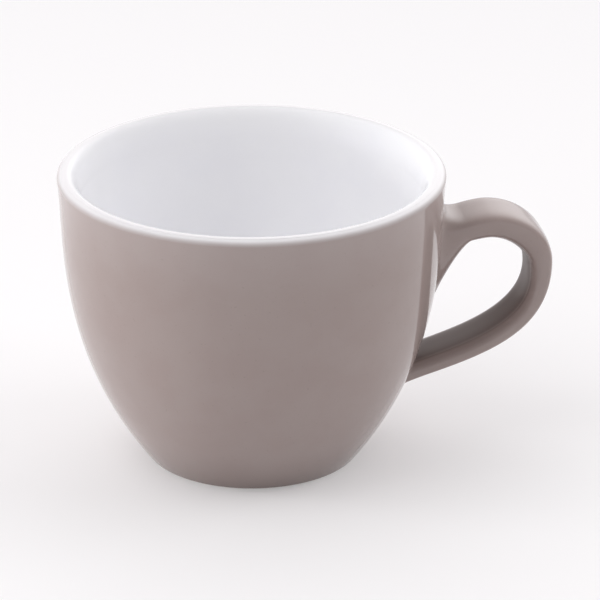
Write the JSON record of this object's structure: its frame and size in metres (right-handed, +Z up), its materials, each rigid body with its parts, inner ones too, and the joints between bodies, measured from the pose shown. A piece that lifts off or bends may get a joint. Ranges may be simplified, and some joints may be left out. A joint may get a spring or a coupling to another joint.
{
  "type": "espresso cup",
  "caption": "Small glazed espresso cup with a rounded bowl, white inside and taupe outside, standing on a foot ring, with a loop handle.",
  "frame": {"origin": "on the table, under the middle of the cup and handle taken together", "axes": "+X from the cup's axis towards the handle, +Z up along the cup's axis"},
  "size_m": [0.0848, 0.066, 0.0517],
  "materials": {
    "bare_clay": "fired, unglazed, smooth and matt",
    "handle_clay": "fired, unglazed, under the glaze",
    "luting_slip": "fired, unglazed, under the glaze",
    "white_glaze": "glossy white glaze",
    "taupe_glaze": "glossy warm grey-brown glaze",
    "clear_glaze": "thin glossy glaze over the clay"
  },
  "bodies": {
    "root": {"cup_body": "bare_clay", "handle": "handle_clay", "upper_slip_joint": "luting_slip", "lower_slip_joint": "luting_slip", "inner_glaze": "white_glaze", "outer_glaze": "taupe_glaze", "handle_glaze": "taupe_glaze", "base_glaze": "clear_glaze"}
  },
  "joints": []
}
